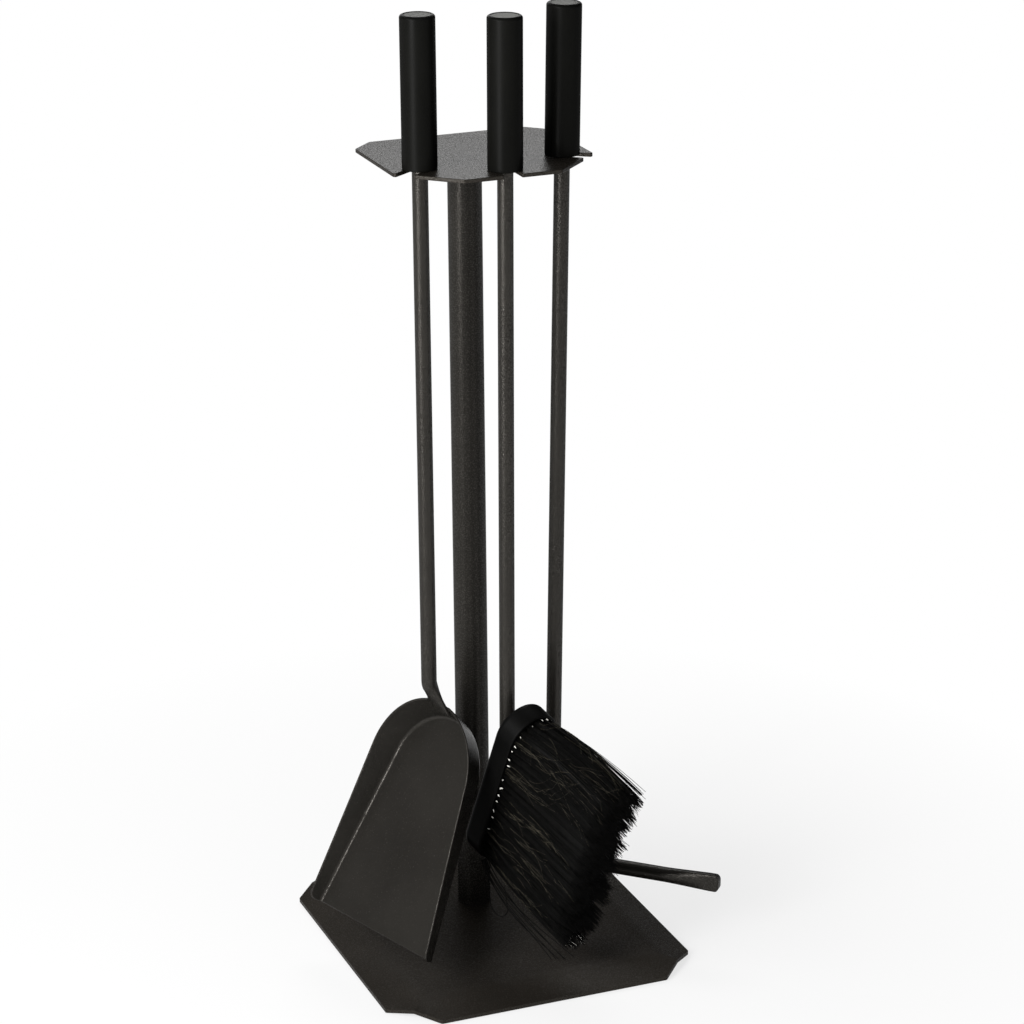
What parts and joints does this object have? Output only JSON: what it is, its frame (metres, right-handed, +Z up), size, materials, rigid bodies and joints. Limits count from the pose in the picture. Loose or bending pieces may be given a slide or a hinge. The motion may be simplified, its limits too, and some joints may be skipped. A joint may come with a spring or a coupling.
{
  "type": "fireplace tool set",
  "caption": "Free-standing stand with a column and a slotted top plate, from which a shovel, a brush and a poker hang by their thick grips.",
  "frame": {"origin": "on the floor, on the column's axis, at the underside of the felt disc under the base", "axes": "+Z up along the column, -Y to the front where the middle slot opens, +X to the poker's side"},
  "size_m": [0.2467, 0.2623, 0.6265],
  "materials": {
    "stand_coat": "fine-textured anthracite powder coat",
    "tool_coat": "fine-textured anthracite powder coat",
    "grip_enamel": "satin black enamel",
    "cap_coat": "coarse grey texture coat",
    "core_wood": "turned, unfinished",
    "block_lacquer": "black lacquer",
    "bristle": "black bristle with some lighter strands",
    "foot_rubber": "matt",
    "felt": "pressed felt",
    "fastener_steel": "zinc plated"
  },
  "bodies": {
    "stand": {"base_plate": "stand_coat", "base_pads": "foot_rubber", "screw_pad": "felt", "base_washer": "fastener_steel", "base_screw": "fastener_steel", "column_foot": "fastener_steel", "column_tube": "stand_coat", "column_head": "fastener_steel", "plate_stud": "fastener_steel", "top_plate": "stand_coat"},
    "shovel": {"shovel_rod": "tool_coat", "shovel_grip": "grip_enamel", "shovel_grip_core": "core_wood", "shovel_grip_cap": "cap_coat", "shovel_pan": "tool_coat"},
    "brush": {"brush_rod": "tool_coat", "brush_grip": "grip_enamel", "brush_grip_core": "core_wood", "brush_grip_cap": "cap_coat", "brush_block": "block_lacquer", "brush_bristles": "bristle"},
    "poker": {"poker_rod": "tool_coat", "poker_grip": "grip_enamel", "poker_grip_core": "core_wood", "poker_grip_cap": "cap_coat"}
  },
  "joints": [
    {"name": "shovel_slide", "type": "slide", "parent": "stand", "child": "shovel", "axis": [-0.809, -0.5878, 0], "range_m": [0, 0.16]},
    {"name": "brush_slide", "type": "slide", "parent": "stand", "child": "brush", "axis": [0, -1, 0], "range_m": [0, 0.16]},
    {"name": "poker_slide", "type": "slide", "parent": "stand", "child": "poker", "axis": [0.809, -0.5878, 0], "range_m": [0, 0.16]}
  ]
}
